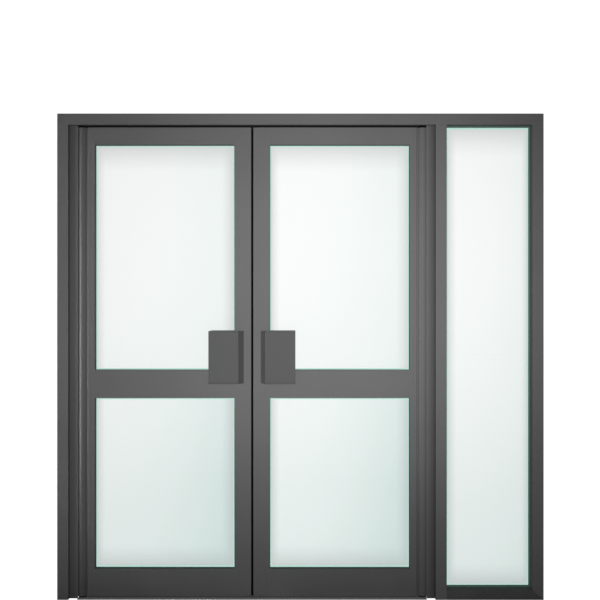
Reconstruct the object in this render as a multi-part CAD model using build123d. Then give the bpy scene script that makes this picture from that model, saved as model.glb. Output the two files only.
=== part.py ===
from build123d import *
import math
import os

os.makedirs("parts", exist_ok=True)

# Millimetres. x runs along the shopfront, y into the shop and z up. The origin is on
# the floor, halfway along the frame and halfway through its depth.

# Fixed frame of hollow extrusions, mitred at the corners.
FRAME_WIDTH = 2100
FRAME_HEIGHT = 2100
FRAME_DEPTH = 100
FRAME_FACE = 48
FRAME_WALL = 2.5
DOOR_OPENING = 1586
SILL_HEIGHT = 42
THRESHOLD_THICKNESS = 4

# Room left round the moving leaves.
CLEARANCE = 5
HEAD_GAP = 8
MEETING_GAP = 9
FILLER_WIDTH = 38

# Leaf extrusions, each width without the glazing bead beside it.
LEAF_THICKNESS = 44
LEAF_WALL = 2.5
HINGE_STILE = 39
MEETING_STILE = 56
MEETING_ROUND = 2.5
TOP_RAIL = 58
MID_RAIL = 88
MID_RAIL_CENTRE = 930
BOTTOM_RAIL = 101.5

# Glazing.
GLASS_THICKNESS = 6.4
GASKET_THICKNESS = 3
GASKET_BEARING = 8
BEAD_WIDTH = 17
BEAD_WALL = 1.6
LEAF_GLASS_BITE = 13
SIDELIGHT_BITE = 10

# Pivots.
PIN_RADIUS = 7
PIN_PLAY = 0.25
PIN_LENGTH = 40
COLLAR_RADIUS = 12
BEARING_GAP = 0.3
BLOCK_LENGTH = 50
NOSE_WALL = 3.5
FLUTE_WALL = 3

# Cranked plate handle.
HANDLE_HEIGHT = 228
HANDLE_CENTRE = 1047.5
HANDLE_SETBACK = 32.5
HANDLE_CRANK = 21
HANDLE_PLATE = 129
HANDLE_STANDOFF = 45
HANDLE_GAUGE = 5
HANDLE_BEND = 4
HANDLE_BEVEL = 8
HANDLE_BEVEL_DEPTH = 2.5

# Places that follow from the sizes above.
FRONT = -FRAME_DEPTH / 2
BACK = FRAME_DEPTH / 2
LEFT = -FRAME_WIDTH / 2
RIGHT = FRAME_WIDTH / 2
DOOR_LEFT = LEFT + FRAME_FACE
DOOR_RIGHT = DOOR_LEFT + DOOR_OPENING
SIDE_LEFT = DOOR_RIGHT + FRAME_FACE
SIDE_RIGHT = RIGHT - FRAME_FACE
HEAD_UNDER = FRAME_HEIGHT - FRAME_FACE

LEAF_FACE = LEAF_THICKNESS / 2
NOSE_RADIUS = LEAF_FACE
COVE_RADIUS = NOSE_RADIUS + CLEARANCE
LIP_OFFSET = math.sqrt(COVE_RADIUS**2 - NOSE_RADIUS**2)
LEFT_LIP = DOOR_LEFT + FILLER_WIDTH
RIGHT_LIP = DOOR_RIGHT - FILLER_WIDTH
LEFT_PIVOT = LEFT_LIP + LIP_OFFSET
RIGHT_PIVOT = RIGHT_LIP - LIP_OFFSET
LEAF_REACH = (RIGHT_PIVOT - LEFT_PIVOT - MEETING_GAP) / 2
LEAF_BOTTOM = THRESHOLD_THICKNESS + CLEARANCE
LEAF_TOP = HEAD_UNDER - HEAD_GAP

GLASS_FACE = GLASS_THICKNESS / 2
GASKET_FACE = GLASS_FACE + GASKET_THICKNESS
PANE_LEFT = HINGE_STILE
PANE_RIGHT = LEAF_REACH - MEETING_STILE
LOWER_PANE = (LEAF_BOTTOM + BOTTOM_RAIL, MID_RAIL_CENTRE - MID_RAIL / 2)
UPPER_PANE = (MID_RAIL_CENTRE + MID_RAIL / 2, LEAF_TOP - TOP_RAIL)


def slab(x0, x1, y0, y1, z0, z1):
    """Block between two corners."""
    centre = Pos((x0 + x1) / 2, (y0 + y1) / 2, (z0 + z1) / 2)
    return centre * Box(x1 - x0, y1 - y0, z1 - z0)


def upright(section, z0, z1):
    """Extrusion standing on end, from a section drawn in plan."""
    return Pos(0, 0, z0) * extrude(section, amount=z1 - z0)


def rod(radius, z0, z1):
    """Upright round bar on the pivot line."""
    return upright(Circle(radius), z0, z1)


def plan_box(x0, x1, y0, y1):
    """Rectangle drawn in plan, between two corners."""
    return Pos((x0 + x1) / 2, (y0 + y1) / 2) * Rectangle(x1 - x0, y1 - y0)


def elevation(points, y0, y1):
    """Slab with an outline drawn on the front view, as (x, z) corners."""
    outline = Polyline(*[(x, y0, z) for x, z in points], close=True)
    return extrude(make_face(outline), amount=y1 - y0, dir=(0, 1, 0))


def between(p, q, share):
    """Point part of the way from p to q."""
    return (p[0] + (q[0] - p[0]) * share, p[1] + (q[1] - p[1]) * share)


def hollow_bar(edge, other, face, wall, y0, y1):
    """Open-ended tube between two long edges on the front view, square or mitred."""
    (p0, p1), (q0, q1) = edge, other
    share = wall / face
    core = [
        between(p0, q0, share),
        between(p1, q1, share),
        between(q1, p1, share),
        between(q0, p0, share),
    ]
    return elevation([p0, p1, q1, q0], y0, y1) - elevation(core, y0 + wall, y1 - wall)


def ring(x0, x1, z0, z1, width, y0, y1):
    """Flat rectangular ring, measured at its outside."""
    hole = slab(x0 + width, x1 - width, y0, y1, z0 + width, z1 - width)
    return slab(x0, x1, y0, y1, z0, z1) - hole


def bead_set(x0, x1, z0, z1, y0, y1):
    """Four hollow beads mitred round a pane, measured at their outside."""
    w = BEAD_WIDTH
    outer = [(x0, z0), (x1, z0), (x1, z1), (x0, z1)]
    inner = [(x0 + w, z0 + w), (x1 - w, z0 + w), (x1 - w, z1 - w), (x0 + w, z1 - w)]
    bars = []
    for i in range(4):
        j = (i + 1) % 4
        edge = (outer[i], outer[j])
        other = (inner[i], inner[j])
        bars.append(hollow_bar(edge, other, BEAD_WIDTH, BEAD_WALL, y0, y1))
    return bars


# Fixed frame. The sidelight glass stands in slots cut through the inner walls.
slot = slab(
    SIDE_LEFT - SIDELIGHT_BITE,
    SIDE_RIGHT + SIDELIGHT_BITE,
    -GASKET_FACE,
    GASKET_FACE,
    SILL_HEIGHT - SIDELIGHT_BITE,
    HEAD_UNDER + SIDELIGHT_BITE,
)
left_jamb = hollow_bar(
    ((LEFT, 0), (LEFT, FRAME_HEIGHT)),
    ((DOOR_LEFT, 0), (DOOR_LEFT, HEAD_UNDER)),
    FRAME_FACE,
    FRAME_WALL,
    FRONT,
    BACK,
)
head = hollow_bar(
    ((LEFT, FRAME_HEIGHT), (RIGHT, FRAME_HEIGHT)),
    ((DOOR_LEFT, HEAD_UNDER), (SIDE_RIGHT, HEAD_UNDER)),
    FRAME_FACE,
    FRAME_WALL,
    FRONT,
    BACK,
)
right_jamb = hollow_bar(
    ((RIGHT, 0), (RIGHT, FRAME_HEIGHT)),
    ((SIDE_RIGHT, SILL_HEIGHT), (SIDE_RIGHT, HEAD_UNDER)),
    FRAME_FACE,
    FRAME_WALL,
    FRONT,
    BACK,
)
mullion = hollow_bar(
    ((DOOR_RIGHT, 0), (DOOR_RIGHT, HEAD_UNDER)),
    ((SIDE_LEFT, 0), (SIDE_LEFT, HEAD_UNDER)),
    FRAME_FACE,
    FRAME_WALL,
    FRONT,
    BACK,
)
sidelight_sill = hollow_bar(
    ((SIDE_LEFT, 0), (RIGHT, 0)),
    ((SIDE_LEFT, SILL_HEIGHT), (SIDE_RIGHT, SILL_HEIGHT)),
    SILL_HEIGHT,
    FRAME_WALL,
    FRONT,
    BACK,
)

# Pivot filler, drawn for the left jamb. Its hollow edge follows the leaf's round nose.
filler_body = plan_box(DOOR_LEFT, LEFT_LIP, -LEAF_FACE, LEAF_FACE)
filler_body -= Pos(LEFT_PIVOT, 0) * Circle(COVE_RADIUS)
filler_core = plan_box(
    DOOR_LEFT + LEAF_WALL,
    LEFT_PIVOT - COVE_RADIUS - FLUTE_WALL,
    -LEAF_FACE + LEAF_WALL,
    LEAF_FACE - LEAF_WALL,
)
left_filler = upright(filler_body - filler_core, 0, HEAD_UNDER)
door_centre = Plane.YZ.offset((DOOR_LEFT + DOOR_RIGHT) / 2)
right_filler = mirror(left_filler, about=door_centre)

threshold = slab(LEFT_LIP, RIGHT_LIP, FRONT, BACK, 0, THRESHOLD_THICKNESS)

sidelight_glass = slab(
    SIDE_LEFT - SIDELIGHT_BITE,
    SIDE_RIGHT + SIDELIGHT_BITE,
    -GLASS_FACE,
    GLASS_FACE,
    SILL_HEIGHT - SIDELIGHT_BITE,
    HEAD_UNDER + SIDELIGHT_BITE,
)
sidelight_gaskets = Compound(
    [
        ring(
            SIDE_LEFT - FRAME_WALL,
            SIDE_RIGHT + FRAME_WALL,
            SILL_HEIGHT - FRAME_WALL,
            HEAD_UNDER + FRAME_WALL,
            FRAME_WALL,
            y0,
            y1,
        )
        for y0, y1 in ((-GASKET_FACE, -GLASS_FACE), (GLASS_FACE, GASKET_FACE))
    ]
)

# Pivot pins. The lower one carries the leaf on a collar, the upper one hangs from the head.
lower_pin = rod(PIN_RADIUS, THRESHOLD_THICKNESS, LEAF_BOTTOM + PIN_LENGTH)
lower_pin += rod(COLLAR_RADIUS, THRESHOLD_THICKNESS, LEAF_BOTTOM - BEARING_GAP)
upper_pin = rod(PIN_RADIUS, LEAF_TOP - PIN_LENGTH, HEAD_UNDER)
upper_pin += rod(COLLAR_RADIUS, LEAF_TOP + CLEARANCE, HEAD_UNDER)
pivot_pins = Compound([lower_pin, upper_pin])

# Leaf, drawn with its pivot line on the z axis and its meeting edge at x = LEAF_REACH.
# The nose is round about the pivot. At a right angle the filler's lip stands beside the
# leaf, so a flute as wide as the lip and its clearance is taken out of each face.
hinge_body = plan_box(0, HINGE_STILE, -LEAF_FACE, LEAF_FACE)
flute_start = NOSE_RADIUS * NOSE_RADIUS / COVE_RADIUS
flute_depth = NOSE_RADIUS * LIP_OFFSET / COVE_RADIUS
for side in (1, -1):
    near = plan_box(0, flute_start, flute_depth, LEAF_FACE)
    far = plan_box(0, LEAF_FACE + CLEARANCE, LIP_OFFSET, LEAF_FACE)
    flute = near + far + Pos(LEAF_FACE, LIP_OFFSET) * Circle(CLEARANCE)
    hinge_body -= flute if side > 0 else mirror(flute, about=Plane.XZ)
hinge_body += Circle(NOSE_RADIUS)
flute_floor = LIP_OFFSET - CLEARANCE - FLUTE_WALL
block_radius = NOSE_RADIUS - NOSE_WALL
hinge_core = Circle(block_radius)
hinge_core += plan_box(0, HINGE_STILE - LEAF_WALL, -flute_floor, flute_floor)
hinge_core += plan_box(
    LEAF_FACE + CLEARANCE + LEAF_WALL,
    HINGE_STILE - LEAF_WALL,
    -LEAF_FACE + LEAF_WALL,
    LEAF_FACE - LEAF_WALL,
)
hinge_stile = upright(hinge_body - hinge_core, LEAF_BOTTOM, LEAF_TOP)

meeting_body = plan_box(PANE_RIGHT, LEAF_REACH, -LEAF_FACE, LEAF_FACE)
meeting_body = fillet(meeting_body.vertices().group_by(Axis.X)[-1], MEETING_ROUND)
meeting_core = plan_box(
    PANE_RIGHT + LEAF_WALL,
    LEAF_REACH - LEAF_WALL,
    -LEAF_FACE + LEAF_WALL,
    LEAF_FACE - LEAF_WALL,
)
meeting_stile = upright(meeting_body - meeting_core, LEAF_BOTTOM, LEAF_TOP)


def rail(z0, z1):
    """Square-cut tube between the two stiles."""
    top = ((PANE_LEFT, z1), (PANE_RIGHT, z1))
    bottom = ((PANE_LEFT, z0), (PANE_RIGHT, z0))
    return hollow_bar(top, bottom, z1 - z0, LEAF_WALL, -LEAF_FACE, LEAF_FACE)


def pane_glass(pane):
    """Laminated glass, its edges hidden behind the beads."""
    cover = BEAD_WIDTH - LEAF_GLASS_BITE
    return slab(
        PANE_LEFT + cover,
        PANE_RIGHT - cover,
        -GLASS_FACE,
        GLASS_FACE,
        pane[0] + cover,
        pane[1] - cover,
    )


def pane_beads(pane):
    """Beads flush with both faces of the leaf."""
    bars = bead_set(PANE_LEFT, PANE_RIGHT, pane[0], pane[1], -LEAF_FACE, -GASKET_FACE)
    bars += bead_set(PANE_LEFT, PANE_RIGHT, pane[0], pane[1], GASKET_FACE, LEAF_FACE)
    return Compound(bars)


def pane_gaskets(pane):
    """Rubber rings between the beads and the glass."""
    cover = BEAD_WIDTH - GASKET_BEARING
    rings = []
    for y0, y1 in ((-GASKET_FACE, -GLASS_FACE), (GLASS_FACE, GASKET_FACE)):
        rings.append(
            ring(
                PANE_LEFT + cover,
                PANE_RIGHT - cover,
                pane[0] + cover,
                pane[1] - cover,
                GASKET_BEARING,
                y0,
                y1,
            )
        )
    return Compound(rings)


bore = PIN_RADIUS + PIN_PLAY
pivot_blocks = Compound(
    [
        rod(block_radius, z0, z1) - rod(bore, z0, z1)
        for z0, z1 in (
            (LEAF_BOTTOM, LEAF_BOTTOM + BLOCK_LENGTH),
            (LEAF_TOP - BLOCK_LENGTH, LEAF_TOP),
        )
    ]
)

# Handle: a foot on the inner part of the meeting stile, a sloping web and a plate that
# reaches back over the glass. The plate's face is bevelled along its top and bottom.
foot_end = LEAF_REACH - HANDLE_SETBACK
plate_start = foot_end - HANDLE_CRANK
plate_end = plate_start - HANDLE_PLATE
plate_face = -LEAF_FACE - HANDLE_STANDOFF
web_run = HANDLE_GAUGE * math.hypot(HANDLE_CRANK, HANDLE_STANDOFF) / HANDLE_STANDOFF
handle_foot = plan_box(PANE_RIGHT, foot_end - web_run / 2, -LEAF_FACE - HANDLE_GAUGE, -LEAF_FACE)
handle_plate = plan_box(plate_end, plate_start, plate_face, plate_face + HANDLE_GAUGE)
handle_web = make_face(
    Polyline(
        (foot_end, -LEAF_FACE),
        (plate_start, plate_face),
        (plate_start - web_run, plate_face),
        (foot_end - web_run, -LEAF_FACE),
        close=True,
    )
)
handle_section = handle_foot + handle_plate + handle_web
bend = handle_section.vertices().sort_by_distance((plate_start, plate_face))[0]
handle_section = fillet(bend, HANDLE_BEND)
handle_low = HANDLE_CENTRE - HANDLE_HEIGHT / 2
handle_high = HANDLE_CENTRE + HANDLE_HEIGHT / 2
handle_profile = Polyline(
    (plate_end, -LEAF_FACE, handle_low),
    (plate_end, plate_face + HANDLE_BEVEL_DEPTH, handle_low),
    (plate_end, plate_face, handle_low + HANDLE_BEVEL),
    (plate_end, plate_face, handle_high - HANDLE_BEVEL),
    (plate_end, plate_face + HANDLE_BEVEL_DEPTH, handle_high),
    (plate_end, -LEAF_FACE, handle_high),
    close=True,
)
handle_blank = extrude(make_face(handle_profile), amount=foot_end - plate_end, dir=(1, 0, 0))
front_handle = upright(handle_section, handle_low, handle_high) & handle_blank

leaf = {
    "hinge_stile": hinge_stile,
    "meeting_stile": meeting_stile,
    "top_rail": rail(UPPER_PANE[1], LEAF_TOP),
    "mid_rail": rail(LOWER_PANE[1], UPPER_PANE[0]),
    "bottom_rail": rail(LEAF_BOTTOM, LOWER_PANE[0]),
    "upper_glass": pane_glass(UPPER_PANE),
    "lower_glass": pane_glass(LOWER_PANE),
    "upper_beads": pane_beads(UPPER_PANE),
    "lower_beads": pane_beads(LOWER_PANE),
    "upper_gaskets": pane_gaskets(UPPER_PANE),
    "lower_gaskets": pane_gaskets(LOWER_PANE),
    "pivot_blocks": pivot_blocks,
    "front_handle": front_handle,
    "back_handle": mirror(front_handle, about=Plane.XZ),
}
frame = {
    "left_jamb": left_jamb,
    "right_jamb": right_jamb - slot,
    "head": head - slot,
    "mullion": mullion - slot,
    "sidelight_sill": sidelight_sill - slot,
    "left_filler": left_filler,
    "right_filler": right_filler,
    "threshold": threshold,
    "sidelight_glass": sidelight_glass,
    "sidelight_gaskets": sidelight_gaskets,
    "left_pivot_pins": Pos(LEFT_PIVOT, 0, 0) * pivot_pins,
    "right_pivot_pins": Pos(RIGHT_PIVOT, 0, 0) * pivot_pins,
}

for node, shape in frame.items():
    export_step(shape, f"parts/{node}.step")
for node, shape in leaf.items():
    export_step(Pos(LEFT_PIVOT, 0, 0) * shape, f"parts/left_{node}.step")
    mirrored = mirror(shape, about=Plane.YZ)
    export_step(Pos(RIGHT_PIVOT, 0, 0) * mirrored, f"parts/right_{node}.step")
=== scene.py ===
# %% [markdown]
# # An aluminium shop door
#
# The door is a ready-made shopfront set: two glazed swing leaves and a fixed sidelight in one
# frame of charcoal powder-coated extrusions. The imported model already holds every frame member,
# pane, bead and handle at its real size, so this lesson adds what the eye still misses: soft
# edges, finishes, pile seals in the gaps and the small fixings.

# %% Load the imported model
import math

import bpy
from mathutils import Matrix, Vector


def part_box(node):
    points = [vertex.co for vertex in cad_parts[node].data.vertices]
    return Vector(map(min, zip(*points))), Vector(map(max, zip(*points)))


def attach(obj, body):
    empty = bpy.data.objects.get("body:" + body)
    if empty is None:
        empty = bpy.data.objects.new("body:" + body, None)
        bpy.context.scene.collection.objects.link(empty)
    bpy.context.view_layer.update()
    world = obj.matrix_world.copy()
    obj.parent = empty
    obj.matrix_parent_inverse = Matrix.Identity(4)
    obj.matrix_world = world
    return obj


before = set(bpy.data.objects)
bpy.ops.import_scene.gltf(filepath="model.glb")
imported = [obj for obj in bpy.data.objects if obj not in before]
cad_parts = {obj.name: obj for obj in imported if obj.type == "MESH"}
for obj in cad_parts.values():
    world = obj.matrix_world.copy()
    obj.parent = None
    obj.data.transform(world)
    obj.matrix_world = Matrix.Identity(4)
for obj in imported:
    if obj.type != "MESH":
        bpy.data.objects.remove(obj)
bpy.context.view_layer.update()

# %% [markdown]
# ## Camera
#
# The photograph looks straight at the shopfront. The right-hand reveals and the underside of the
# head just show, which puts the lens about five metres away and a little above mid-height. A
# level camera keeps the uprights parallel, so no tilt and no lens shift are needed.

# %% Camera
VIEW_DISTANCE = 5.0
VIEW_HEIGHT = 1.295
VIEW_OFFSET = -0.0017
VIEW_WIDTH = 2.5896
FRONT_PLANE = -0.05
SENSOR = 36.0
FAR_CLIP = 100

camera_data = bpy.data.cameras.new("camera")
camera_data.sensor_width = SENSOR
camera_data.lens = SENSOR * VIEW_DISTANCE / VIEW_WIDTH
camera_data.clip_end = FAR_CLIP
camera = bpy.data.objects.new("camera", camera_data)
camera.location = (VIEW_OFFSET, FRONT_PLANE - VIEW_DISTANCE, VIEW_HEIGHT)
camera.rotation_euler = (math.radians(90), 0, 0)
bpy.context.collection.objects.link(camera)
bpy.context.scene.camera = camera
print("camera lens", round(camera_data.lens, 1), "mm")

# %% [markdown]
# ## Lamps
#
# Two soft spot lamps stand just behind the camera: a wide beam aimed at mid-height and a narrow
# beam aimed higher. Together they make the frame brightest in the middle and let it fall away
# towards its corners and its foot, which one lamp alone does too evenly. A tall strip lamp on the
# left only adds a gleam along the round nose of the left leaf, and one lamp behind serves the
# views of the back.


# %% Lamps
def add_lamp(name, kind, place, target, power):
    """Lamp that points at a target and stays out of the picture itself."""
    data = bpy.data.lights.new(name, kind)
    data.energy = power
    lamp = bpy.data.objects.new(name, data)
    lamp.location = place
    aim = [t - p for t, p in zip(target, place)]
    flat = math.hypot(aim[0], aim[1])
    lamp.rotation_euler = (math.atan2(flat, -aim[2]), 0, math.atan2(-aim[0], aim[1]))
    lamp.visible_camera = False
    lamp.visible_transmission = False
    bpy.context.collection.objects.link(lamp)
    return lamp


FRONT_PLACE = (0, -5.2, 1.32)
WIDE_AIM, NARROW_AIM = (0.16, 0, 1.12), (0.13, 0, 1.37)
BACK_PLACE, BACK_AIM = (0, 5.2, 1.5), (0, 0, 1.3)
LAMP_SOFTNESS = 0.35
# Each spot: name, place, target, beam in degrees, power in watts.
SPOTS = (
    ("wide_lamp", FRONT_PLACE, WIDE_AIM, 47.4, 647),
    ("narrow_lamp", FRONT_PLACE, NARROW_AIM, 26.7, 967),
    ("back_lamp", BACK_PLACE, BACK_AIM, 60, 1200),
)
for name, place, target, beam, power in SPOTS:
    spot = add_lamp(name, "SPOT", place, target, power)
    spot.data.spot_size = math.radians(beam)
    spot.data.spot_blend = 1.0
    spot.data.shadow_soft_size = LAMP_SOFTNESS
    spot.visible_glossy = False

STRIP_PLACE, STRIP_AIM = (-2.6, -1.5, 1.0), (-0.95, 0, 1.0)
STRIP_POWER = 9
STRIP_WIDTH, STRIP_HEIGHT = 0.9, 3.0
STRIP_SPREAD = 40
strip_lamp = add_lamp("strip_lamp", "AREA", STRIP_PLACE, STRIP_AIM, STRIP_POWER)
strip_lamp.data.shape = "RECTANGLE"
strip_lamp.data.size, strip_lamp.data.size_y = STRIP_WIDTH, STRIP_HEIGHT
strip_lamp.data.spread = math.radians(STRIP_SPREAD)
strip_lamp.visible_diffuse = False
print("lamps:", ", ".join(row[0] for row in SPOTS), "and", strip_lamp.name)

# %% [markdown]
# ## Surround
#
# Behind the glass the studio is pure white, yet it must give little light of its own, or the
# charcoal frame would turn pale. A grey world would dull the glass, so Light Path tells the two
# apart: the surround is bright for rays that reach it straight or through glass, and dim after
# any bounce.


# %% Surround
def add_node(tree, kind, **values):
    """New shader node with some of its inputs or settings filled in."""
    node = tree.nodes.new(kind)
    for key, value in values.items():
        socket = key.replace("_", " ")
        if socket in node.inputs:
            node.inputs[socket].default_value = value
        else:
            setattr(node, key, value)
    return node


def math_node(tree, operation, first, second=None, clamp=False):
    """Math node fed by sockets or by numbers."""
    node = add_node(tree, "ShaderNodeMath", operation=operation, use_clamp=clamp)
    for slot, value in enumerate((first, second)):
        if value is None:
            continue
        if isinstance(value, (int, float)):
            node.inputs[slot].default_value = value
        else:
            tree.links.new(value, node.inputs[slot])
    return node.outputs[0]


def level_by(tree, mask, low, high, socket):
    """Feed a socket with a value that goes from low to high with a mask."""
    level = add_node(tree, "ShaderNodeMapRange", To_Min=low, To_Max=high)
    tree.links.new(mask, level.inputs["Value"])
    tree.links.new(level.outputs["Result"], socket)


HALF_A_BOUNCE = 0.5


def seen_directly(tree):
    """One for rays from the camera, straight or through glass, and nought after any bounce."""
    rays = tree.nodes.new("ShaderNodeLightPath")
    bounces = math_node(tree, "ADD", rays.outputs["Diffuse Depth"], rays.outputs["Glossy Depth"])
    return math_node(tree, "LESS_THAN", bounces, HALF_A_BOUNCE)


WHITE = (1, 1, 1, 1)
SURROUND_SEEN = 1.04
SURROUND_LIGHT = 0.09
world = bpy.data.worlds.new("white_surround")
bpy.context.scene.world = world
world.use_nodes = True
sky_tree = world.node_tree
sky = sky_tree.nodes["Background"]
sky.inputs["Color"].default_value = WHITE
level_by(sky_tree, seen_directly(sky_tree), SURROUND_LIGHT, SURROUND_SEEN, sky.inputs["Strength"])
bpy.context.scene.view_settings.view_transform = "Standard"
print("surround seen at", SURROUND_SEEN, "and lighting at", SURROUND_LIGHT)

# %% [markdown]
# ## Floor
#
# The floor is a wide plane just under the frame. It has to meet the surround without a horizon,
# also when it is seen through the panes, so it glows as white as the surround for the camera and
# stays a dull grey for every other ray.


# %% Floor
def new_finish(name):
    """Material with its tree and its Principled shader."""
    finish = bpy.data.materials.new(name)
    finish.use_nodes = True
    return finish, finish.node_tree, finish.node_tree.nodes["Principled BSDF"]


FLOOR_SIZE = 40
FLOOR_DROP = 0.0005
FLOOR_GREY = (0.1, 0.1, 0.1, 1)
FLOOR_ROUGH = 0.8
FLOOR_SEEN = 1.04
bpy.ops.object.select_all(action="DESELECT")
bpy.ops.mesh.primitive_plane_add(size=FLOOR_SIZE, location=(0, 0, -FLOOR_DROP))
floor = bpy.context.object
floor.name = "floor"
floor_finish, floor_tree, floor_shader = new_finish("white_floor")
floor_shader.inputs["Base Color"].default_value = FLOOR_GREY
floor_shader.inputs["Roughness"].default_value = FLOOR_ROUGH
floor_shader.inputs["Emission Color"].default_value = WHITE
floor_glow = floor_shader.inputs["Emission Strength"]
level_by(floor_tree, seen_directly(floor_tree), 0.0, FLOOR_SEEN, floor_glow)
floor.data.materials.append(floor_finish)
print("floor", FLOOR_SIZE, "m wide")

# %% [markdown]
# ## Skin of a powder coat
#
# Powder coat is sprayed as dust and baked, so it has a fine orange-peel skin, a very slight
# cloudiness and tiny flecks. Each could be built inside every finish, but coat and rubber share
# them, so they are one shader group, made once and placed in each finish with its own scales.


# %% Skin of a powder coat
def new_group(name, inputs, outputs):
    """Empty shader group with float inputs and outputs."""
    group = bpy.data.node_groups.new(name, "ShaderNodeTree")
    for socket in inputs:
        group.interface.new_socket(socket, in_out="INPUT", socket_type="NodeSocketFloat")
    for socket in outputs:
        group.interface.new_socket(socket, in_out="OUTPUT", socket_type="NodeSocketFloat")
    return group, group.nodes.new("NodeGroupInput"), group.nodes.new("NodeGroupOutput")


def object_place(tree):
    """The point's place in the object's own coordinates."""
    return tree.nodes.new("ShaderNodeTexCoord").outputs["Object"]


def object_noise(tree, **values):
    """Noise texture laid on the object's own coordinates."""
    texture = add_node(tree, "ShaderNodeTexNoise", **values)
    tree.links.new(object_place(tree), texture.inputs["Vector"])
    return texture


FLECK_SCALE = 1900.0
coat_skin, skin_in, skin_out = new_group(
    "coat_skin", ("Peel scale", "Cloud scale"), ("Peel", "Cloud", "Fleck")
)
peel = object_noise(coat_skin, Detail=2.0, Roughness=0.5)
cloud = object_noise(coat_skin, Detail=4.0, Roughness=0.55)
fleck = object_noise(coat_skin, Scale=FLECK_SCALE, Detail=1.0)
coat_skin.links.new(skin_in.outputs["Peel scale"], peel.inputs["Scale"])
coat_skin.links.new(skin_in.outputs["Cloud scale"], cloud.inputs["Scale"])
for texture, socket in ((peel, "Peel"), (cloud, "Cloud"), (fleck, "Fleck")):
    coat_skin.links.new(texture.outputs[0], skin_out.inputs[socket])
print("group", coat_skin.name)

# %% [markdown]
# ## Darkening at the foot
#
# The coat turns darker towards the floor. Painting that by hand would need an image, so this
# group
# gives a mask instead: a fade by height, broken up by noise so that it has no hard line. On the
# sidelight's sill the same mask carries painted shade, where the light falls off at the foot.


# %% Darkening at the foot
def split_place(tree):
    """The point's place as separate X, Y and Z."""
    split = tree.nodes.new("ShaderNodeSeparateXYZ")
    tree.links.new(object_place(tree), split.inputs[0])
    return split.outputs


DARKENING_CURVE = 1.6
PATCH_SCALE = 7.0
PATCH_DEPTH = 0.5
PATCH_LEAST = 0.75
foot_darkening, darkening_in, darkening_out = new_group("foot_darkening", ("Reach",), ("Darkening",))
darkening_height = split_place(foot_darkening)["Z"]
darkening_height = math_node(foot_darkening, "DIVIDE", darkening_height, darkening_in.outputs["Reach"])
darkening_fade = math_node(foot_darkening, "SUBTRACT", 1.0, darkening_height, clamp=True)
darkening_fade = math_node(foot_darkening, "POWER", darkening_fade, DARKENING_CURVE)
patches = object_noise(foot_darkening, Scale=PATCH_SCALE, Detail=5.0)
patches = math_node(foot_darkening, "MULTIPLY", patches.outputs[0], PATCH_DEPTH)
patches = math_node(foot_darkening, "ADD", patches, PATCH_LEAST)
darkening_mask = math_node(foot_darkening, "MULTIPLY", darkening_fade, patches, clamp=True)
foot_darkening.links.new(darkening_mask, darkening_out.inputs["Darkening"])
print("group", foot_darkening.name)

# %% [markdown]
# ## Painted shade beside the pivots
#
# A filler closes the gap beside each pivot. Its inner corner and its hollow edge lie in shade,
# and this group paints that shade into the coat: the mask grows towards a corner, and is strong
# on everything that lies behind the filler's two faces.

# %% Painted shade beside the pivots
SHADE_BEHIND_FACE = 0.85
recess_shade, recess_shade_in, recess_shade_out = new_group(
    "recess_shade", ("Corner", "Reach", "Face", "Strength"), ("Painted shade",)
)
recess_shade_place = split_place(recess_shade)
off_corner = math_node(recess_shade, "SUBTRACT", recess_shade_place["X"], recess_shade_in.outputs["Corner"])
off_corner = math_node(recess_shade, "ABSOLUTE", off_corner)
off_corner = math_node(recess_shade, "DIVIDE", off_corner, recess_shade_in.outputs["Reach"])
in_corner = math_node(recess_shade, "SUBTRACT", 1.0, off_corner, clamp=True)
in_corner = math_node(recess_shade, "MULTIPLY", in_corner, recess_shade_in.outputs["Strength"])
behind_face = math_node(recess_shade, "ABSOLUTE", recess_shade_place["Y"])
behind_face = math_node(recess_shade, "LESS_THAN", behind_face, recess_shade_in.outputs["Face"])
behind_face = math_node(recess_shade, "MULTIPLY", behind_face, SHADE_BEHIND_FACE)
recess_shade_mask = math_node(recess_shade, "MAXIMUM", in_corner, behind_face)
recess_shade.links.new(recess_shade_mask, recess_shade_out.inputs["Painted shade"])
print("group", recess_shade.name)

# %% [markdown]
# ## Powder coat
#
# The coat is a charcoal paint film with a satin shine. A single colour would look like plastic,
# so cloudiness shifts the colour and the shine a little, flecks darken it, orange peel breaks up
# its highlights, and on top it turns darker towards the foot and takes painted shade in a recess.


# %% Powder coat
MIX_FIRST, MIX_SECOND, MIX_RESULT = 6, 7, 2


def mix_colour(tree, mask, first, second):
    """Colour that goes from first to second with a mask; each is a socket or a colour."""
    node = add_node(tree, "ShaderNodeMix", data_type="RGBA")
    tree.links.new(mask, node.inputs["Factor"])
    for socket, value in ((node.inputs[MIX_FIRST], first), (node.inputs[MIX_SECOND], second)):
        if isinstance(value, tuple):
            socket.default_value = (*value, 1)
        else:
            tree.links.new(value, socket)
    return node.outputs[MIX_RESULT]


def shaded(colour, share):
    """A colour darkened to a share of itself."""
    return tuple(share * part for part in colour)


def place_group(tree, group, **values):
    """A shared group placed in a material with its own values."""
    node = tree.nodes.new("ShaderNodeGroup")
    node.node_tree = group
    for key, value in values.items():
        node.inputs[key.replace("_", " ")].default_value = value
    return node


def bump(tree, shader, height, strength, distance):
    """Relief on the shader's normal."""
    node = add_node(tree, "ShaderNodeBump", Strength=strength, Distance=distance)
    tree.links.new(height, node.inputs["Height"])
    tree.links.new(node.outputs["Normal"], shader.inputs["Normal"])


PEEL_SCALE, CLOUD_SCALE = 650.0, 2.2
PEEL_DEPTH = 0.0003
FLECK_SHARE, FLECK_SHADE = 0.35, 0.8
DARKENING_REACH, FOOT_DARK_SHARE, FOOT_DARK_TONE = 0.9, 0.36, 0.45
RECESS_SHADE_TONE = 0.12
SMOOTHER, ROUGHER = 0.05, 0.07


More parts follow.
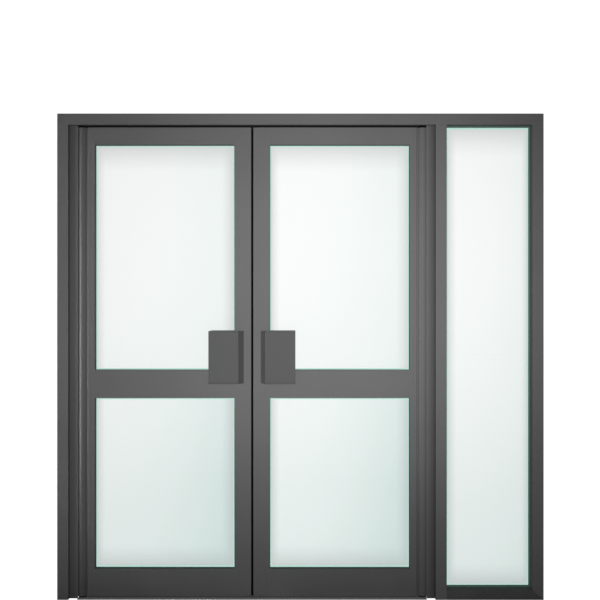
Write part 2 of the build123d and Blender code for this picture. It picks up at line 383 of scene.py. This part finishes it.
def powder_coat(name, dark, light, rough, peel_strength, foot_dark_share=FOOT_DARK_SHARE, recess=None):
    """Satin powder coat between two close shades, with painted shade where a recess is given."""
    finish, tree, shader = new_finish(name)
    skin = place_group(tree, coat_skin, Peel_scale=PEEL_SCALE, Cloud_scale=CLOUD_SCALE)
    foot_darkness = place_group(tree, foot_darkening, Reach=DARKENING_REACH)
    colour = mix_colour(tree, skin.outputs["Cloud"], dark, light)
    grain = math_node(tree, "MULTIPLY", skin.outputs["Fleck"], FLECK_SHARE)
    colour = mix_colour(tree, grain, colour, shaded(dark, FLECK_SHADE))
    # Darker towards the foot; on the sill this darkening is painted shade.
    foot_dark = math_node(tree, "MULTIPLY", foot_darkness.outputs["Darkening"], foot_dark_share)
    colour = mix_colour(tree, foot_dark, colour, shaded(dark, FOOT_DARK_TONE))
    # Painted shade in the filler's inner corner and hollow edge.
    if recess:
        corner_shade = place_group(tree, recess_shade, **recess)
        colour = mix_colour(tree, corner_shade.outputs["Painted shade"], colour, shaded(dark, RECESS_SHADE_TONE))
    tree.links.new(colour, shader.inputs["Base Color"])
    roughness = shader.inputs["Roughness"]
    level_by(tree, skin.outputs["Cloud"], rough - SMOOTHER, rough + ROUGHER, roughness)
    bump(tree, shader, skin.outputs["Peel"], peel_strength, PEEL_DEPTH)
    return finish


CHARCOAL = {
    "dark": (0.098, 0.098, 0.099), "light": (0.122, 0.122, 0.123),
    "rough": 0.42, "peel_strength": 0.05,
}
HANDLE_CHARCOAL = {
    "dark": (0.067, 0.067, 0.068), "light": (0.081, 0.081, 0.082),
    "rough": 0.45, "peel_strength": 0.07,
}
charcoal = powder_coat("charcoal_powder_coat", **CHARCOAL)
handle_coat = powder_coat("handle_powder_coat", **HANDLE_CHARCOAL)
print("coats:", charcoal.name, handle_coat.name)

# %% [markdown]
# ## Coats with painted shade
#
# Two kinds of piece carry painted shade. The sidelight's sill is darkened much more towards the
# foot, where the light falls off. Each filler is darkened in its recess, placed by the filler's
# own box, so the painted shade stays with the piece if the door is made in another size.

# %% Coats with painted shade
# Painted shade: a much heavier darkening on the sill, and darker recesses on the fillers.
SILL_PAINTED_SHADE = 0.9
FILLER_SHADE = {"left": 0.17, "right": 0.62}
FACE_MARGIN = 0.001
sill_coat_with_painted_shade = powder_coat("sill_powder_coat_painted_shade", **CHARCOAL, foot_dark_share=SILL_PAINTED_SHADE)
filler_coat = {}
for side, strength in FILLER_SHADE.items():
    node = side + "_filler"
    low_corner, high_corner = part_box(node)
    recess = {
        "Corner": low_corner[0] if side == "left" else high_corner[0],
        "Reach": high_corner[0] - low_corner[0],
        "Face": high_corner[1] - FACE_MARGIN,
        "Strength": strength,
    }
    filler_coat[node] = powder_coat(node + "_coat", **CHARCOAL, recess=recess)
print("coats with painted shade:", sill_coat_with_painted_shade.name, *(coat.name for coat in filler_coat.values()))

# %% [markdown]
# ## Bare metals
#
# The threshold is natural aluminium, brushed along its length. Pivots and screws are dark steel
# with fine turning marks, made near-black so that the pivots read as the shade in their gaps,
# which is painted shade. Both are a noise stretched along one axis, which costs far less than
# modelled scratches and still moves the highlight.


# %% Bare metals
LINE_SHADE = 0.8
LINE_ROUGHER = 0.16
LINE_RELIEF, LINE_DEPTH = 0.1, 0.0002


def brushed_metal(name, colour, rough, stretch, metallic):
    """Bare metal with fine lines along one axis."""
    finish, tree, shader = new_finish(name)
    shader.inputs["Metallic"].default_value = metallic
    mapping = add_node(tree, "ShaderNodeMapping", Scale=stretch)
    tree.links.new(object_place(tree), mapping.inputs["Vector"])
    lines = add_node(tree, "ShaderNodeTexNoise", Scale=1.0, Detail=3.0)
    tree.links.new(mapping.outputs["Vector"], lines.inputs["Vector"])
    shade = mix_colour(tree, lines.outputs[0], shaded(colour, LINE_SHADE), colour)
    tree.links.new(shade, shader.inputs["Base Color"])
    level_by(tree, lines.outputs[0], rough, rough + LINE_ROUGHER, shader.inputs["Roughness"])
    bump(tree, shader, lines.outputs[0], LINE_RELIEF, LINE_DEPTH)
    return finish


ALUMINIUM, ALUMINIUM_ROUGH, ALUMINIUM_METAL = (0.62, 0.63, 0.64), 0.5, 0.4
# Painted shade: the steel's near-black colour stands for the shade round the pivots.
STEEL_DARK_AS_SHADE, STEEL_ROUGH, STEEL_METAL = (0.09, 0.09, 0.095), 0.38, 1.0
ALONG_PLATE, ROUND_PIN = (6.0, 900.0, 900.0), (300.0, 300.0, 1200.0)
natural = brushed_metal(
    "natural_aluminium", ALUMINIUM, ALUMINIUM_ROUGH, ALONG_PLATE, ALUMINIUM_METAL
)
steel_dark_as_shade = brushed_metal("steel_dark_as_painted_shade", STEEL_DARK_AS_SHADE, STEEL_ROUGH, ROUND_PIN, STEEL_METAL)
print("metals:", natural.name, steel_dark_as_shade.name)

# %% [markdown]
# ## Gasket rubber
#
# The gaskets that hold the panes are matt black rubber with a faint bloom. It uses the same skin
# group as the coat, with a finer peel and smaller clouds.

# %% Gasket rubber
RUBBER_DARK, RUBBER_LIGHT = (0.009, 0.009, 0.009), (0.02, 0.02, 0.021)
RUBBER_PEEL_SCALE, RUBBER_CLOUD_SCALE = 900.0, 9.0
RUBBER_SMOOTH, RUBBER_ROUGH = 0.62, 0.8
RUBBER_RELIEF = 0.2
rubber, rubber_tree, rubber_shader = new_finish("black_gasket_rubber")
rubber_skin = place_group(
    rubber_tree, coat_skin, Peel_scale=RUBBER_PEEL_SCALE, Cloud_scale=RUBBER_CLOUD_SCALE
)
bloom = rubber_skin.outputs["Cloud"]
rubber_colour = mix_colour(rubber_tree, bloom, RUBBER_DARK, RUBBER_LIGHT)
rubber_tree.links.new(rubber_colour, rubber_shader.inputs["Base Color"])
level_by(rubber_tree, bloom, RUBBER_SMOOTH, RUBBER_ROUGH, rubber_shader.inputs["Roughness"])
bump(rubber_tree, rubber_shader, rubber_skin.outputs["Peel"], RUBBER_RELIEF, PEEL_DEPTH)
print("rubber:", rubber.name)

# %% [markdown]
# ## Tint and painted shade of a pane
#
# Clear glass has a green cast. It shows as a bright green line where the pane runs in behind its
# beads. Painted shade lies on top: a soft grey band near the border, and a deeper green towards
# the foot and towards the right, where the light falls off. All of these follow the pane's own
# border, so one group takes the border as inputs and gives three masks.

# %% Tint and painted shade of a pane
BORDER_SHADE_CURVE = 1.4
DRIFT_CURVE = 2.0
FOOT_SHADE_TOP = 1.75
FOOT_SHADE_CURVE = 1.9
FOOT_SHADE_MOST = 0.66
BORDERS = ("Left", "Right", "Low", "High")
pane_tint_and_shade, pane_in, pane_out = new_group(
    "pane_tint_and_shade",
    (*BORDERS, *(border + " veil" for border in BORDERS), "Line", "Drift"),
    ("Edge line", "Border veil", "Foot"),
)
pane_place = split_place(pane_tint_and_shade)
across, up = pane_place["X"], pane_place["Z"]
from_left = math_node(pane_tint_and_shade, "SUBTRACT", across, pane_in.outputs["Left"])
from_right = math_node(pane_tint_and_shade, "SUBTRACT", pane_in.outputs["Right"], across)
from_low = math_node(pane_tint_and_shade, "SUBTRACT", up, pane_in.outputs["Low"])
from_high = math_node(pane_tint_and_shade, "SUBTRACT", pane_in.outputs["High"], up)
# Painted shade: a grey band that fades in from each border.
nearest, clear_of_border_shade = None, None
for border, inward in zip(BORDERS, (from_left, from_right, from_low, from_high)):
    share = math_node(pane_tint_and_shade, "DIVIDE", inward, pane_in.outputs[border + " veil"])
    fade = math_node(pane_tint_and_shade, "SUBTRACT", 1.0, share, clamp=True)
    fade = math_node(pane_tint_and_shade, "POWER", fade, BORDER_SHADE_CURVE)
    keep = math_node(pane_tint_and_shade, "SUBTRACT", 1.0, fade)
    if nearest is None:
        nearest, clear_of_border_shade = inward, keep
        continue
    nearest = math_node(pane_tint_and_shade, "MINIMUM", nearest, inward)
    clear_of_border_shade = math_node(pane_tint_and_shade, "MULTIPLY", clear_of_border_shade, keep)
on_line = math_node(pane_tint_and_shade, "LESS_THAN", nearest, pane_in.outputs["Line"])
pane_tint_and_shade.links.new(on_line, pane_out.inputs["Edge line"])
border_shade_mask = math_node(pane_tint_and_shade, "SUBTRACT", 1.0, clear_of_border_shade)
pane_tint_and_shade.links.new(border_shade_mask, pane_out.inputs["Border veil"])

# Painted shade: the green deepens towards the right and towards the foot.
pane_width = math_node(pane_tint_and_shade, "SUBTRACT", pane_in.outputs["Right"], pane_in.outputs["Left"])
drift = math_node(pane_tint_and_shade, "DIVIDE", from_left, pane_width, clamp=True)
drift = math_node(pane_tint_and_shade, "POWER", drift, DRIFT_CURVE)
drift = math_node(pane_tint_and_shade, "MULTIPLY", drift, pane_in.outputs["Drift"])
depth = math_node(pane_tint_and_shade, "DIVIDE", up, FOOT_SHADE_TOP)
depth = math_node(pane_tint_and_shade, "SUBTRACT", 1.0, depth, clamp=True)
depth = math_node(pane_tint_and_shade, "POWER", depth, FOOT_SHADE_CURVE)
depth = math_node(pane_tint_and_shade, "MULTIPLY", depth, FOOT_SHADE_MOST)
foot_share = math_node(pane_tint_and_shade, "ADD", depth, drift, clamp=True)
pane_tint_and_shade.links.new(foot_share, pane_out.inputs["Foot"])
print("group", pane_tint_and_shade.name)

# %% [markdown]
# ## Glass
#
# A pane's finish is one Principled shader with the masks in its colour. Glass normally throws a
# full shadow in a path tracer, so the shader turns clear for shadow rays, and the lamps reach the
# pieces behind it.

# %% Glass
TRANSMISSION = 0.94
GLASS_ROUGH = 0.015
GLASS_IOR = 1.5
LINE_WIDTH = 0.0065
BORDER_SHADE_SHARE = 0.5
CLEAR_TINT, GREEN_CAST_AND_SHADE = (0.9, 0.92, 0.91), (0.62, 0.735, 0.71)
PAINTED_BORDER_SHADE, LINE_GREEN = (0.42, 0.44, 0.44), (0.5, 0.76, 0.67)


def pane_glass(name, borders, drift, shade_reaches):
    """Glass whose daylight opening has these borders and painted-shade reaches, in metres."""
    finish, tree, shader = new_finish(name)
    shader.inputs["Transmission Weight"].default_value = TRANSMISSION
    shader.inputs["Roughness"].default_value = GLASS_ROUGH
    shader.inputs["IOR"].default_value = GLASS_IOR
    tint_and_shade = place_group(tree, pane_tint_and_shade, Line=LINE_WIDTH, Drift=drift)
    for border, place, reach in zip(BORDERS, borders, shade_reaches):
        tint_and_shade.inputs[border].default_value = place
        tint_and_shade.inputs[border + " veil"].default_value = reach
    # Painted shade: deeper green at the foot and grey near the border; the green line is the
    # glass's own.
    colour = mix_colour(tree, tint_and_shade.outputs["Foot"], CLEAR_TINT, GREEN_CAST_AND_SHADE)
    painted_shade = math_node(tree, "MULTIPLY", tint_and_shade.outputs["Border veil"], BORDER_SHADE_SHARE)
    colour = mix_colour(tree, painted_shade, colour, PAINTED_BORDER_SHADE)
    colour = mix_colour(tree, tint_and_shade.outputs["Edge line"], colour, LINE_GREEN)
    tree.links.new(colour, shader.inputs["Base Color"])
    clear = tree.nodes.new("ShaderNodeBsdfTransparent")
    path = tree.nodes.new("ShaderNodeLightPath")
    mixed = tree.nodes.new("ShaderNodeMixShader")
    tree.links.new(path.outputs["Is Shadow Ray"], mixed.inputs[0])
    tree.links.new(shader.outputs[0], mixed.inputs[1])
    tree.links.new(clear.outputs[0], mixed.inputs[2])
    tree.links.new(mixed.outputs[0], tree.nodes["Material Output"].inputs["Surface"])
    return finish


print("glass sends on", TRANSMISSION, "of the light")

# %% [markdown]
# ## Glazing
#
# Each pane's borders come from its own box, less the edge that its beads or the frame hide. Seen
# from eye level a bead also covers a little of the glass, so the green line is set in further at
# some borders. Left, right, low and high are always in this order.

# %% Glazing
# Each kind: hidden edge, set-in of the borders, painted shade towards the right, painted border
# shade reaches.
PANE_KINDS = {
    "upper": {
        "hidden": 0.013, "set_in": (0, 0, 0, 0),
        "drift": 0.3, "shade_reaches": (0.045, 0.06, 0.006, 0.12),
    },
    "lower": {
        "hidden": 0.013, "set_in": (0, 0, 0.005, 0),
        "drift": 0.6, "shade_reaches": (0.045, 0.06, 0.1, 0.006),
    },
    "sidelight": {
        "hidden": 0.010, "set_in": (0.006, 0.010, 0.011, 0.0075),
        "drift": 0.14, "shade_reaches": (0.045, 0.032, 0.1, 0.13),
    },
}
glass_finish = {}
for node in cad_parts:
    if not node.endswith("_glass"):
        continue
    low_corner, high_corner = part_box(node)
    kind = PANE_KINDS[node.split("_")[-2]]
    left, right, low, high = (kind["hidden"] + inset for inset in kind["set_in"])
    borders = (
        low_corner[0] + left,
        high_corner[0] - right,
        low_corner[2] + low,
        high_corner[2] - high,
    )
    glass_finish[node] = pane_glass("clear_" + node, borders, kind["drift"], kind["shade_reaches"])
print("panes:", ", ".join(glass_finish))

# %% [markdown]
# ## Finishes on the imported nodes
#
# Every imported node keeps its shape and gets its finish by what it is. Extrusions and beads come
# out of the die with edges rounded by under a millimetre, which is what catches the light along
# them. A weld joins the loose triangles first, and a narrow bevel then rounds only real edges.


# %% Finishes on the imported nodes
def finish_for(node):
    """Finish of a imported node, by its name."""
    if node in glass_finish:
        return glass_finish[node]
    if node in filler_coat:
        return filler_coat[node]
    if node.endswith("sill"):
        return sill_coat_with_painted_shade
    if node.endswith("gaskets"):
        return rubber
    if node.endswith(("pins", "blocks")):
        return steel_dark_as_shade
    if node.endswith("handle"):
        return handle_coat
    return natural if node == "threshold" else charcoal


EDGE_ROUND = {"handle": 0.0012, "beads": 0.0007, "rail": 0.0005, "threshold": 0.0010}
PLAIN_ROUND = 0.0008
EDGE_STEPS = 2
REAL_EDGE = math.radians(40)
MERGE_GAP = 0.00001
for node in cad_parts:
    thing = bpy.data.objects[node]
    thing.data.materials.clear()
    thing.data.materials.append(finish_for(node))
    if node in glass_finish or node.endswith(("gaskets", "pins", "blocks")):
        continue
    weld = thing.modifiers.new("join_faces", "WELD")
    weld.merge_threshold = MERGE_GAP
    soften = thing.modifiers.new("soft_edges", "BEVEL")
    soften.width = EDGE_ROUND.get(node.split("_")[-1], PLAIN_ROUND)
    soften.segments = EDGE_STEPS
    soften.limit_method = "ANGLE"
    soften.angle_limit = REAL_EDGE
print("dressed", len(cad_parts), "nodes")

# %% [markdown]
# ## Pile fibre
#
# Swing doors close their gaps with woven pile, a dense brush of black fibre. It swallows nearly
# all light, so the finish has almost no highlight, and a fine noise stands for the hair ends. Its
# colour is set near pure black, so that the seals also stand for the shade in the gaps: painted
# shade.

# %% Pile fibre
# Painted shade: the near-black pile stands for the shade in the gaps.
PILE_SHADE_DARK, PILE_SHADE_LIGHT = (0.001, 0.001, 0.001), (0.005, 0.005, 0.005)
HAIR_SCALE = 1400.0
HAIR_RELIEF, HAIR_DEPTH = 0.6, 0.0008
PILE_ROUGH = 0.95
PILE_GLOSS = 0.02
pile_and_shade, pile_tree, pile_shader = new_finish("black_pile_and_painted_shade")
hairs = object_noise(pile_tree, Scale=HAIR_SCALE, Detail=2.0)
pile_colour = mix_colour(pile_tree, hairs.outputs[0], PILE_SHADE_DARK, PILE_SHADE_LIGHT)
pile_tree.links.new(pile_colour, pile_shader.inputs["Base Color"])
pile_shader.inputs["Roughness"].default_value = PILE_ROUGH
pile_shader.inputs["Specular IOR Level"].default_value = PILE_GLOSS
bump(pile_tree, pile_shader, hairs.outputs[0], HAIR_RELIEF, HAIR_DEPTH)
print("pile:", pile_and_shade.name)

# %% [markdown]
# ## A pile strip
#
# Pile is woven on a flat backing that slides into a groove in the extrusion. It could be
# thousands of hairs, but in a gap of a few millimetres it reads as a soft dark line, so a strip
# is a backing with a narrower brush drawn out of it and its crown rounded.


# %% A pile strip
FACING = 0.9
BACKING_SHARE = 0.3
BRUSH_SHARE = 0.75
CROWN_SHARE, CROWN_MOST = 0.3, 0.001
CROWN_STEPS = 2
SMOOTH_ANGLE = math.radians(40)


def select_faces(thing, axis, sign):
    """In edit mode, select only the faces that look along one axis."""
    bpy.ops.mesh.select_all(action="DESELECT")
    bpy.ops.object.mode_set(mode="OBJECT")
    for face in thing.data.polygons:
        face.select = face.normal[axis] * sign > FACING
    bpy.ops.object.mode_set(mode="EDIT")


def pile_strip(name, body, low, high, axis, sign):
    """Backing strip with a brush that grows along an axis, between two corners."""
    back_low, back_high = list(low), list(high)
    depth = high[axis] - low[axis]
    backing = depth * BACKING_SHARE
    if sign > 0:
        back_high[axis] = low[axis] + backing
    else:
        back_low[axis] = high[axis] - backing
    centre = [(a + b) / 2 for a, b in zip(back_low, back_high)]
    bpy.ops.object.select_all(action="DESELECT")
    bpy.ops.mesh.primitive_cube_add(size=1, location=centre)
    strip = bpy.context.object
    strip.name = name
    strip.scale = [b - a for a, b in zip(back_low, back_high)]
    bpy.ops.object.transform_apply(location=True, rotation=False, scale=True)
    thick = min(b - a for i, (a, b) in enumerate(zip(low, high)) if i != axis)
    bpy.ops.object.mode_set(mode="EDIT")
    bpy.ops.mesh.select_mode(type="FACE")
    select_faces(strip, axis, sign)
    bpy.ops.mesh.inset(thickness=thick * (1 - BRUSH_SHARE) / 2, depth=0)
    rise = [0, 0, 0]
    rise[axis] = sign * (depth - backing)
    bpy.ops.mesh.extrude_region_move(TRANSFORM_OT_translate={"value": rise})
    crown = min(thick * BRUSH_SHARE * CROWN_SHARE, CROWN_MOST)
    bpy.ops.mesh.bevel(offset=crown, segments=CROWN_STEPS, affect="EDGES")
    bpy.ops.object.mode_set(mode="OBJECT")
    strip.data.materials.append(pile_and_shade)
    bpy.ops.object.shade_smooth_by_angle(angle=SMOOTH_ANGLE)
    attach(strip, body)
    return strip


print("a strip's brush is", BRUSH_SHARE, "of its backing")

# %% [markdown]
# ## A brush ring
#
# A straight strip can't pass the pivot pin, so a ring of the same pile closes the gap round it,
# above and below the leaf. Its section is a small plane with rounded corners, spun once round the
# pin. The first and last section meet inside the ring, so they are merged and removed.


# %% A brush ring
RING_INNER = 0.0135
RING_OUTER = 0.0195
RING_STEPS = 48
RING_ROUND = 0.001


def pile_ring(name, body, pivot, low, high):
    """Brush ring round a pivot: an upright strip of section, spun about the pin."""
    middle = (RING_INNER + RING_OUTER) / 2
    centre = (pivot + middle, 0, (low + high) / 2)
    bpy.ops.object.select_all(action="DESELECT")
    bpy.ops.mesh.primitive_plane_add(size=1, location=centre, rotation=(math.radians(90), 0, 0))
    ring = bpy.context.object
    ring.name = name
    ring.scale = (RING_OUTER - RING_INNER, high - low, 1)
    bpy.ops.object.transform_apply(location=True, rotation=True, scale=True)
    bpy.ops.object.mode_set(mode="EDIT")
    bpy.ops.mesh.select_all(action="SELECT")
    bpy.ops.mesh.bevel(offset=RING_ROUND, segments=CROWN_STEPS, affect="VERTICES")
    bpy.ops.mesh.select_all(action="SELECT")
    bpy.ops.mesh.spin(steps=RING_STEPS, angle=math.tau, center=(pivot, 0, 0), axis=(0, 0, 1))
    bpy.ops.mesh.select_all(action="SELECT")
    bpy.ops.mesh.remove_doubles(threshold=MERGE_GAP)
    bpy.ops.mesh.select_all(action="DESELECT")
    bpy.ops.mesh.select_interior_faces()
    bpy.ops.mesh.delete(type="FACE")
    bpy.ops.mesh.select_all(action="SELECT")
    bpy.ops.mesh.normals_make_consistent(inside=False)
    bpy.ops.object.mode_set(mode="OBJECT")
    ring.data.materials.append(pile_and_shade)
    bpy.ops.object.shade_smooth_by_angle(angle=SMOOTH_ANGLE)
    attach(ring, body)
    return ring


print("a ring reaches from", RING_INNER, "to", RING_OUTER, "m from its pin")

# %% [markdown]
# ## Seals in the gaps
#
# Each leaf carries its own seals: one strip up its meeting edge, one along its top and one along
# its foot, and a ring at either end of its pivot. All places come from the boxes of the packed
# nodes, and every seal stops just short of what it faces, so nothing rubs when the leaf swings.

# %% Seals in the gaps
PILE_THICK = 0.007
RING_CLEAR = 0.021
TOUCH_GAP = 0.0002
TIP_GAP = 0.00004
LEAF_SIDES = (("left", 1), ("right", -1))
left_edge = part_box("left_meeting_stile")[1][0]
right_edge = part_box("right_meeting_stile")[0][0]
gap_middle = (left_edge + right_edge) / 2
leaf_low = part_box("left_meeting_stile")[0][2]
leaf_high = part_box("left_meeting_stile")[1][2]
head_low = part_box("head")[0][2] - TOUCH_GAP
plate_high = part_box("threshold")[1][2] + TOUCH_GAP
half = PILE_THICK / 2
seals = []
for side, way in LEAF_SIDES:
    body = side + "_leaf"
    edge = left_edge if way > 0 else right_edge
    tip = gap_middle - way * TIP_GAP
    x0, x1 = min(edge, tip), max(edge, tip)
    upright = (x0, -half, leaf_low), (x1, half, leaf_high)
    seals.append(pile_strip(side + "_meeting_pile", body, *upright, 0, way))
    pivot = sum(corner[0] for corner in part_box(side + "_pivot_pins")) / 2
    near = pivot + way * RING_CLEAR
    run0, run1 = min(near, tip), max(near, tip)
    top = (run0, -half, leaf_high), (run1, half, head_low)
    seals.append(pile_strip(side + "_top_pile", body, *top, 2, 1))
    foot = (run0, -half, plate_high), (run1, half, leaf_low)
    seals.append(pile_strip(side + "_foot_pile", body, *foot, 2, -1))
    seals.append(pile_ring(side + "_pivot_pile", body, pivot, leaf_high, head_low))
    seals.append(pile_ring(side + "_pivot_foot_pile", body, pivot, plate_high, leaf_low))
print("seals:", ", ".join(seal.name for seal in seals))

# %% [markdown]
# ## A screw head
#
# Each handle's foot is held to the stile by three pan-head screws, hidden behind the plate from
# the front but plain from the side. One head starts as a short cylinder: its rim is bevelled, and
# two bars cut a cross into its crown.


# %% A screw head
SCREW_SIDES = 32
RIM_SHARE, RIM_STEPS = 0.55, 4
CROSS_LENGTH, CROSS_WIDTH, CROSS_DEPTH = 1.1, 0.24, 0.9
CROSS_TURNS = (0, 90)


def screw_head(name, radius, height):
    """Pan head with a cross recess, on the origin and facing up."""
    bpy.ops.object.select_all(action="DESELECT")
    bpy.ops.mesh.primitive_cylinder_add(
        vertices=SCREW_SIDES, radius=radius, depth=height, location=(0, 0, height / 2)
    )
    head = bpy.context.object
    head.name = name
    bpy.ops.object.transform_apply(location=True, rotation=False, scale=False)
    bpy.ops.object.mode_set(mode="EDIT")
    bpy.ops.mesh.select_mode(type="FACE")
    select_faces(head, 2, 1)
    bpy.ops.mesh.bevel(offset=height * RIM_SHARE, segments=RIM_STEPS, affect="EDGES")
    bpy.ops.object.mode_set(mode="OBJECT")
    for turn in CROSS_TURNS:
        facing = (0, 0, math.radians(turn))
        bpy.ops.mesh.primitive_cube_add(size=1, location=(0, 0, height), rotation=facing)
        cutter = bpy.context.object
        cutter.scale = (radius * CROSS_LENGTH, radius * CROSS_WIDTH, height * CROSS_DEPTH)
        bpy.ops.object.transform_apply(location=True, rotation=True, scale=True)
        cut = head.modifiers.new("cross", "BOOLEAN")
        cut.operation = "DIFFERENCE"
        cut.object = cutter
        bpy.context.view_layer.objects.active = head
        bpy.ops.object.modifier_apply(modifier=cut.name)
        bpy.data.objects.remove(cutter, do_unlink=True)
    return head


SCREW_RADIUS = 0.0042
SCREW_RISE = 0.0026
pattern = screw_head("screw_pattern", SCREW_RADIUS, SCREW_RISE)
print("screw head with", len(pattern.data.polygons), "faces")

# %% [markdown]
# ## Rows of screws
#
# The pattern is copied three times onto each handle's foot, turned to face away from the leaf,
# and each row is joined into one piece. The pattern itself is then removed.

# %% Rows of screws
SCREW_SPACING = 0.080
SCREW_INSET = 0.0065
FOOT_GAUGE = 0.005
SCREW_SMOOTH = math.radians(30)
for side, way in LEAF_SIDES:
    stile_low, stile_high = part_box(side + "_meeting_stile")
    inner = stile_low[0] if way > 0 else stile_high[0]
    for face, out in (("front", -1), ("back", 1)):
        low_corner, high_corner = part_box(f"{side}_{face}_handle")
        seat = out * (stile_high[1] + FOOT_GAUGE)
        middle = (low_corner[2] + high_corner[2]) / 2
        row = []
        for step in (-1, 0, 1):
            copy = pattern.copy()
            copy.data = pattern.data.copy()
            bpy.context.collection.objects.link(copy)
            copy.rotation_euler = (math.radians(90 if out < 0 else -90), 0, 0)
            copy.location = (inner + way * SCREW_INSET, seat, middle + step * SCREW_SPACING)
            row.append(copy)
        bpy.ops.object.select_all(action="DESELECT")
        for copy in row:
            copy.select_set(True)
        bpy.context.view_layer.objects.active = row[0]
        bpy.ops.object.join()
        bpy.ops.object.transform_apply(location=True, rotation=True, scale=True)
        screws = bpy.context.object
        screws.name = f"{side}_{face}_handle_screws"
        screws.data.materials.append(steel_dark_as_shade)
        bpy.ops.object.shade_smooth_by_angle(angle=SCREW_SMOOTH)
        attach(screws, side + "_leaf")
bpy.data.objects.remove(pattern, do_unlink=True)
print("three screws on each of the four handles")
